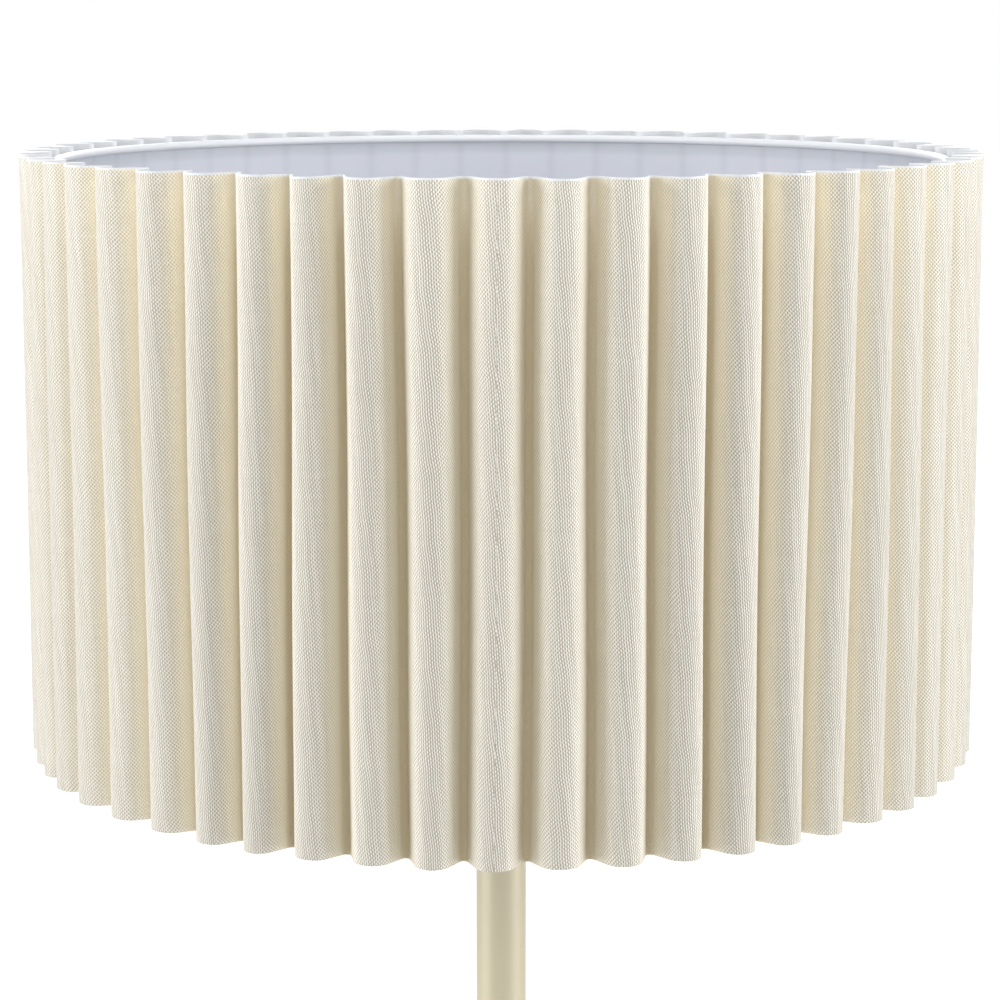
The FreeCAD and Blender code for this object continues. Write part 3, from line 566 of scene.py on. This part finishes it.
def round_section(name, section, columns, body, vary=None):
    """Closed ring swept round the lamp's axis from (radius, z) points of its section."""
    turn = np.arange(columns) * TURN / columns
    loops = []
    for index, (radius, z) in enumerate(section):
        radii = np.full(columns, radius)
        heights = np.full(columns, z)
        if vary is not None:
            radii, heights = vary(index, turn, radii, heights)
        loops.append(np.stack([radii * np.cos(turn), radii * np.sin(turn), heights], 1))
    return new_piece(name, np.concatenate(loops), ring_faces(columns, len(section)), body)


def sharpen(piece):
    """Marks the edges whose faces meet at a crease, so they shade crisp."""
    piece.data.set_sharp_from_angle(angle=CREASE)


def arc(centre, radius, turns):
    """Points in plan on a circle, at the given turns about its centre."""
    return centre + radius * np.stack([np.cos(turns), np.sin(turns)], 1)


# --- pleated cloth ----------------------------------------------------------------------------
class PleatLine:
    """One pleat of the sheet in plan, crest to crest, as turn and radius of its points."""

    def __init__(self, cloth, inset):
        pitch = TURN / cloth.pleats
        crest = np.array([cloth.radius - cloth.crest, 0.0])
        reach = cloth.radius - cloth.depth + cloth.valley
        valley = reach * np.array([math.cos(pitch / 2), math.sin(pitch / 2)])
        between = valley - crest
        lean = math.acos((cloth.crest + cloth.valley) / np.hypot(*between))
        facing = math.atan2(between[1], between[0]) - lean
        crest_turns = np.linspace(0.0, facing, CREST_STEPS)
        valley_turns = np.linspace(facing + math.pi, pitch / 2 + math.pi, VALLEY_STEPS)
        crest_arc = arc(crest, cloth.crest - inset, crest_turns)
        valley_arc = arc(valley, cloth.valley + inset, valley_turns)
        flank = np.linspace(crest_arc[-1], valley_arc[0], FLANK_STEPS)[1:-1]
        half = np.concatenate([crest_arc, flank, valley_arc])
        turns = np.arctan2(half[:, 1], half[:, 0])
        radii = np.hypot(half[:, 0], half[:, 1])
        self.turns = np.concatenate([turns, pitch - turns[-2:0:-1]])
        self.radii = np.concatenate([radii, radii[-2:0:-1]])


def flat_length(cloth, inset):
    """Length of the sheet along all its pleats, at a depth inside it."""
    line = PleatLine(cloth, inset)
    turns = np.append(line.turns, TURN / cloth.pleats)
    radii = np.append(line.radii, line.radii[0])
    x, y = radii * np.cos(turns), radii * np.sin(turns)
    return cloth.pleats * float(np.hypot(np.diff(x), np.diff(y)).sum())


def hand_drift(turn, rise):
    """How far the hand-set pleats stray from even spacing, in radians; rise is 0 to 1."""
    front = turn + TURN / 4
    around = 0.32 * np.cos(2 * front) + 0.45 * np.sin(7 * front - 0.85) + 0.2 * np.cos(9 * front)
    slant = 0.34 * np.sin(11 * front + 0.8) + 0.26 * np.sin(17 * front + 2.1)
    sway = 0.13 * np.sin(7 * front + 5.0 * rise) * np.sin(math.pi * rise)
    return np.radians(around + slant * (rise - 0.5) + sway)


def cover_points(cloth, rows, inset):
    """Points of one face of the cover, row by row, and their places round the flat pattern."""
    line = PleatLine(cloth, inset)
    starts = cloth.first_crest + np.arange(cloth.pleats) * TURN / cloth.pleats
    turn = (starts[:, None] + line.turns[None, :]).ravel()
    radius = np.tile(line.radii, cloth.pleats)
    share = (cloth.radius - inset - radius) / cloth.depth
    ragged = np.abs(0.22 * MM * np.sin(6 * turn + 0.4) + 0.16 * MM * np.sin(31 * turn))
    points = []
    for rise in rows:
        drifted = turn + hand_drift(turn, rise)
        shallower = 0.035 * np.sin(9 * turn + 1.3) + 0.03 * np.sin(23 * turn + 2.0 * rise)
        crest_in = CREST_SLACK * (1 - share) * (1 + np.sin(13 * turn + 3.1 * rise + 0.5))
        out = radius - crest_in + cloth.depth * share * np.clip(shallower, 0.0, 1.0) * 0.6
        end_trim = ragged * (float(rise == 0.0) - float(rise == 1.0))
        z = COVER_LOW.z + COVER_HEIGHT * rise + end_trim
        points.append(np.stack([out * np.cos(drifted), out * np.sin(drifted), z], 1))
    x, y = radius * np.cos(turn), radius * np.sin(turn)
    step = np.hypot(np.diff(x, append=x[:1]), np.diff(y, append=y[:1]))
    return points, np.concatenate([[0.0], np.cumsum(step)[:-1]])


def make_cover(cloth):
    """Pleated cloth as one closed sheet: canvas outside, white backing inside."""
    rows = [0.0, *np.linspace(0.0, 1.0, COVER_ROWS)[1:-1], 1.0]
    outer, along = cover_points(cloth, rows, 0.0)
    inner, _ = cover_points(cloth, rows, cloth.thickness)
    top_seam = outer[-1] * (1 - SEAM) + inner[-1] * SEAM
    foot_seam = outer[0] * (1 - SEAM) + inner[0] * SEAM
    loops = [*outer, top_seam, *inner[::-1], foot_seam]
    columns = len(along)
    faces = ring_faces(columns, len(loops))
    piece = new_piece("pleated_cover_cloth", np.concatenate(loops), faces, "shade")
    loop_of_face = np.repeat(np.arange(len(loops)), columns)
    canvas_faces = (loop_of_face < len(outer)) | (loop_of_face == len(loops) - 1)
    piece.data.polygons.foreach_set("material_index", np.where(canvas_faces, 0, 1).astype(np.int32))
    rises = [*rows, 1.0, *rows[::-1], 0.0]
    lay_flat(piece, np.array(rises) * COVER_HEIGHT, along, flat_length(cloth, 0.0))
    sharpen(piece)
    return piece


def lay_flat(piece, heights, along, length):
    """Flat pattern of the sheet as UVs in metres: U round the pleats, V up from its lower edge."""
    columns = len(along)
    corner = np.zeros(len(piece.data.loops), np.int32)
    piece.data.loops.foreach_get("vertex_index", corner)
    u = along[corner % columns]
    face_u = u.reshape(-1, 4)
    wraps = (face_u.max(1) - face_u.min(1)) > length / 2
    face_u[wraps] = np.where(face_u[wraps] < length / 2, face_u[wraps] + length, face_u[wraps])
    uv = np.stack([face_u.ravel(), heights[corner // columns]], 1)
    layer = piece.data.uv_layers.new(name="flat_pattern")
    layer.data.foreach_set("uv", uv.astype(np.float32).ravel())


class LAMP_OT_cover(bpy.types.Operator):
    """Build the pleated cloth cover and lay canvas and backing on it"""
    bl_idname = "lamp.cover"
    bl_label = "Pleated Cover"

    def execute(self, context):
        cloth = context.scene.lamp_cloth
        piece = make_cover(cloth)
        piece.data.materials.append(canvas_finish(cloth))
        piece.data.materials.append(backing_finish(cloth))
        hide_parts("pleated_cover")
        width = flat_length(cloth, cloth.thickness / 2)
        return {"FINISHED"}


# --- liner and rolled edges -------------------------------------------------------------------
def make_liner(liner, cloth):
    """Drum sheet between the two rolls, pressed in a hair where each valley is glued."""
    outer, inner = LINER_HIGH.y, LINER_HIGH.y - LINER_SHEET
    low, high = LINER_LOW.z, LINER_HIGH.z
    heights = np.linspace(low, high, LINER_ROWS)
    section = [(outer, z) for z in heights] + [(inner, z) for z in heights[::-1]]

    def dent_and_flank_light(_, turn, radii, z):
        rise = (z - low) / (high - low)
        valley = turn - hand_drift(turn, rise) - cloth.first_crest
        mark = np.clip(-np.cos(valley * cloth.pleats), 0.0, 1.0) ** 12
        return radii - liner.dent * mark, z

    piece = round_section("liner_drum", section, cloth.pleats * STEPS_PER_PLEAT, "shade", dent_and_flank_light)
    sharpen(piece)
    return piece


def make_top_roll(liner, cloth):
    """Rolled edge: a full round bead, with slight puckers along it."""
    centre, middle = ROLL_HIGH.y - BEAD, (ROLL_LOW.z + ROLL_HIGH.z) / 2
    turns = np.linspace(0.0, TURN, BEAD_STEPS + 1)[:-1]
    section = [(centre + BEAD * math.cos(t), middle + BEAD * math.sin(t)) for t in turns]

    def puckered(index, turn, radii, z):
        swell = np.sin(41 * turn + 0.7) + 0.7 * np.sin(67 * turn + 2.0) + 0.4 * np.sin(149 * turn)
        shrink = liner.pucker * 0.5 * (1.0 + 0.45 * swell)
        return radii - shrink * math.cos(turns[index]), z - shrink * math.sin(turns[index])

    return round_section("top_roll", section, cloth.pleats * STEPS_PER_PLEAT, "shade", puckered)


class LAMP_OT_liner(bpy.types.Operator):
    """Build the liner drum and its top rolled edge, and finish the bottom one"""
    bl_idname = "lamp.liner"
    bl_label = "Liner"

    def execute(self, context):
        liner, cloth = context.scene.lamp_liner, context.scene.lamp_cloth
        drum = dressed(make_liner(liner, cloth), liner_finish(liner, cloth))
        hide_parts("shade_liner")
        top_tape = tape_finish("top_tape", liner, ROLL_LOW.z)
        top = dressed(make_top_roll(liner, cloth), top_tape)
        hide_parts("top_edge_roll")
        bottom_tape = tape_finish("bottom_tape", liner, FOOT_LOW.z)
        dressed(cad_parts["bottom_edge_roll"], bottom_tape)
        return {"FINISHED"}


# --- hard parts -------------------------------------------------------------------------------
def finish_nodes(material, names):
    """Gives several CAD nodes one finish and slot."""
    for name in names:
        dressed(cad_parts[name], material)


class LAMP_OT_stand(bpy.types.Operator):
    """Finish the base, the pole and the pieces that join them"""
    bl_idname = "lamp.stand"
    bl_label = "Stand"

    def execute(self, context):
        finish = context.scene.lamp_finish
        paint = paint_finish("champagne_paint", finish.paint, metallic=0.15, roughness=0.45)
        finish_nodes(paint, [
            "base_cover", "base_collar", "pole_lower", "pole_middle", "pole_upper", "pole_top_cap",
            "holder_cap"])
        zinc = plated_finish("zinc_plate", finish.zinc, roughness=0.38)
        finish_nodes(zinc, [
            "base_nipple", "base_washer", "base_lock_washer", "base_nut", "pole_lower_foot_insert",
            "pole_lower_head_insert", "pole_middle_foot_insert", "pole_middle_head_insert",
            "pole_upper_foot_insert", "pole_upper_head_insert", "lower_joint_stud", "upper_joint_stud",
            "holder_nipple", "holder_lock_nut", "holder_set_screw"])
        finish_nodes(iron_finish(finish.iron), ["base_weight"])
        finish_nodes(foam_finish(finish.foam), ["base_pad"])
        return {"FINISHED"}


class LAMP_OT_holder(bpy.types.Operator):
    """Finish the lampholder, its switch and the fitter that carries the shade"""
    bl_idname = "lamp.holder"
    bl_label = "Lampholder"

    def execute(self, context):
        finish = context.scene.lamp_finish
        moulding = moulded_finish("ivory_moulding", finish.moulding, roughness=0.42)
        finish_nodes(moulding, ["cord_bushing", "holder_shell", "shade_ring_nut",
                                                 "switch_knob"])
        core = moulded_finish("steatite", finish.steatite, roughness=0.5, grain=0.05)
        finish_nodes(core, ["holder_core"])
        sleeve = moulded_finish("pressboard", finish.pressboard, roughness=0.8, grain=0.1)
        finish_nodes(sleeve, ["holder_sleeve"])
        brass = plated_finish("satin_brass", finish.brass, roughness=0.3)
        finish_nodes(brass, ["holder_screw_shell", "holder_centre_contact",
                                      "holder_terminal_screws", "switch_bushing", "switch_stem"])
        enamel = paint_finish("white_enamel", finish.wire, metallic=0.0, roughness=0.38)
        finish_nodes(enamel, ["fitter_hub", "fitter_arm_1", "fitter_arm_2",
                                            "fitter_arm_3"])
        drawn = plated_finish("drawn_wire", finish.zinc, roughness=0.4, turning=False)
        finish_nodes(drawn, ["top_ring_wire", "bottom_ring_wire"])
        return {"FINISHED"}


class LAMP_OT_bulb(bpy.types.Operator):
    """Finish the bulb"""
    bl_idname = "lamp.bulb"
    bl_label = "Bulb"

    def execute(self, context):
        finish = context.scene.lamp_finish
        finish_nodes(frosted_finish(finish.diffuser), ["bulb_dome"])
        housing = moulded_finish("bulb_housing", finish.housing, roughness=0.3, grain=0.01)
        finish_nodes(housing, ["bulb_body"])
        nickel = plated_finish("nickel", finish.nickel, roughness=0.22)
        finish_nodes(nickel, ["bulb_screw_cap", "bulb_tip_contact"])
        glass = moulded_finish("black_glass", finish.glass, roughness=0.18, grain=0.0)
        finish_nodes(glass, ["bulb_tip_insulator"])
        board = moulded_finish("solder_mask", finish.board, roughness=0.45)
        finish_nodes(board, ["bulb_led_board"])
        return {"FINISHED"}


# --- studio -----------------------------------------------------------------------------------
def make_floor():
    """Wide pale floor that fades to white away from the lamp and keeps its shadow near the base."""
    bpy.ops.mesh.primitive_plane_add(size=FLOOR_SIDE)
    floor = bpy.context.object
    floor.name = "studio_floor"
    material = bpy.data.materials.new("pale_floor")
    material.use_nodes = True
    material.node_tree.nodes.clear()
    made = Tree(material.node_tree)
    matt = made.node("BsdfDiffuse")
    made.feed(matt.inputs["Color"], FLOOR_GREY)
    away = made.node("VectorMath", operation="LENGTH")
    made.feed(away.inputs[0], made.place())
    fade = made.spread(away.outputs["Value"], FLOOR_GLOW, 1.0, *FLOOR_FADE)
    glow = made.node("Emission")
    made.feed(glow.inputs["Strength"], made.math("MULTIPLY", made.eye_rays(), fade))
    both = made.node("AddShader")
    made.feed(both.inputs[0], matt.outputs[0])
    made.feed(both.inputs[1], glow.outputs[0])
    made.feed(made.node("OutputMaterial").inputs["Surface"], both.outputs[0])
    floor.data.materials.append(material)


def make_world(strength):
    """White surroundings: gentle on the lamp, full white to the camera."""
    world = bpy.data.worlds.new("white_studio")
    bpy.context.scene.world = world
    world.use_nodes = True
    world.node_tree.nodes.clear()
    made = Tree(world.node_tree)
    choose = made.node("MixShader")
    made.feed(choose.inputs[0], made.eye_rays())
    for place, level in ((1, strength), (2, 1.0)):
        light = made.node("Background")
        made.feed(light.inputs["Color"], (*WHITE, 1.0))
        made.feed(light.inputs["Strength"], level)
        made.feed(choose.inputs[place], light.outputs[0])
    made.feed(made.node("OutputWorld").inputs["Surface"], choose.outputs[0])


def softbox(name, place, size, power):
    """Rectangular area lamp facing the middle of the shade."""
    light = bpy.data.lights.new(name, "AREA")
    light.shape = "RECTANGLE"
    light.size, light.size_y = size
    light.energy = power
    lamp = bpy.data.objects.new(name, light)
    bpy.context.scene.collection.objects.link(lamp)
    lamp.location = place
    aim = SHADE_MIDDLE - lamp.location
    lamp.rotation_euler = aim.to_track_quat("-Z", "Y").to_euler()


class LAMP_OT_studio(bpy.types.Operator):
    """Set up the floor, the surroundings, the softboxes and the camera"""
    bl_idname = "lamp.studio"
    bl_label = "Studio"

    def execute(self, context):
        studio = context.scene.lamp_studio
        make_floor()
        make_world(studio.ambient)
        for name, side in (("left_box", -2.0), ("right_box", 2.0)):
            softbox(name, place=(side, -0.6, 1.5), size=(1.6, 2.2), power=studio.side_power)
        softbox("front_box", place=(0.0, -2.6, 2.1), size=(2.2, 1.6), power=studio.front_power)
        softbox("top_box", place=(0.0, -0.3, 3.6), size=(2.0, 2.0), power=studio.top_power)
        softbox("back_box", place=(0.0, 2.2, 2.2), size=(2.0, 1.6), power=studio.back_power)
        eye = bpy.data.cameras.new("lamp_camera")
        eye.lens = studio.lens
        eye.shift_x, eye.shift_y = LENS_SHIFT
        camera = bpy.data.objects.new("lamp_camera", eye)
        context.scene.collection.objects.link(camera)
        camera.location = (0.0, -studio.distance, studio.height)
        camera.rotation_euler = (math.pi / 2 - studio.pitch, 0.0, 0.0)
        context.scene.camera = camera
        context.scene.view_settings.view_transform = "Standard"
        return {"FINISHED"}


# --- add-on -----------------------------------------------------------------------------------
class LAMP_PT_build(bpy.types.Panel):
    """Buttons that build the lamp's pieces"""
    bl_idname = "LAMP_PT_build"
    bl_label = "Pleated Floor Lamp"
    bl_space_type = "VIEW_3D"
    bl_region_type = "UI"
    bl_category = "Lamp"

    def draw(self, context):
        for operator in OPERATORS:
            self.layout.operator(operator.bl_idname)


OPERATORS = (LAMP_OT_studio, LAMP_OT_cover, LAMP_OT_liner, LAMP_OT_stand, LAMP_OT_holder,
             LAMP_OT_bulb)
SETTINGS = {
    "lamp_cloth": ClothSettings,
    "lamp_liner": LinerSettings,
    "lamp_finish": FinishSettings,
    "lamp_studio": StudioSettings,
}


def register():
    for group in SETTINGS.values():
        bpy.utils.register_class(group)
    for name, group in SETTINGS.items():
        setattr(bpy.types.Scene, name, PointerProperty(type=group))
    for operator in OPERATORS:
        bpy.utils.register_class(operator)
    bpy.utils.register_class(LAMP_PT_build)


def unregister():
    bpy.utils.unregister_class(LAMP_PT_build)
    for operator in reversed(OPERATORS):
        bpy.utils.unregister_class(operator)
    for name, group in reversed(SETTINGS.items()):
        delattr(bpy.types.Scene, name)
        bpy.utils.unregister_class(group)


def main():
    register()
    bpy.ops.lamp.studio()
    bpy.ops.lamp.cover()
    bpy.ops.lamp.liner()
    bpy.ops.lamp.stand()
    bpy.ops.lamp.holder()
    bpy.ops.lamp.bulb()


if __name__ == "__main__":
    main()
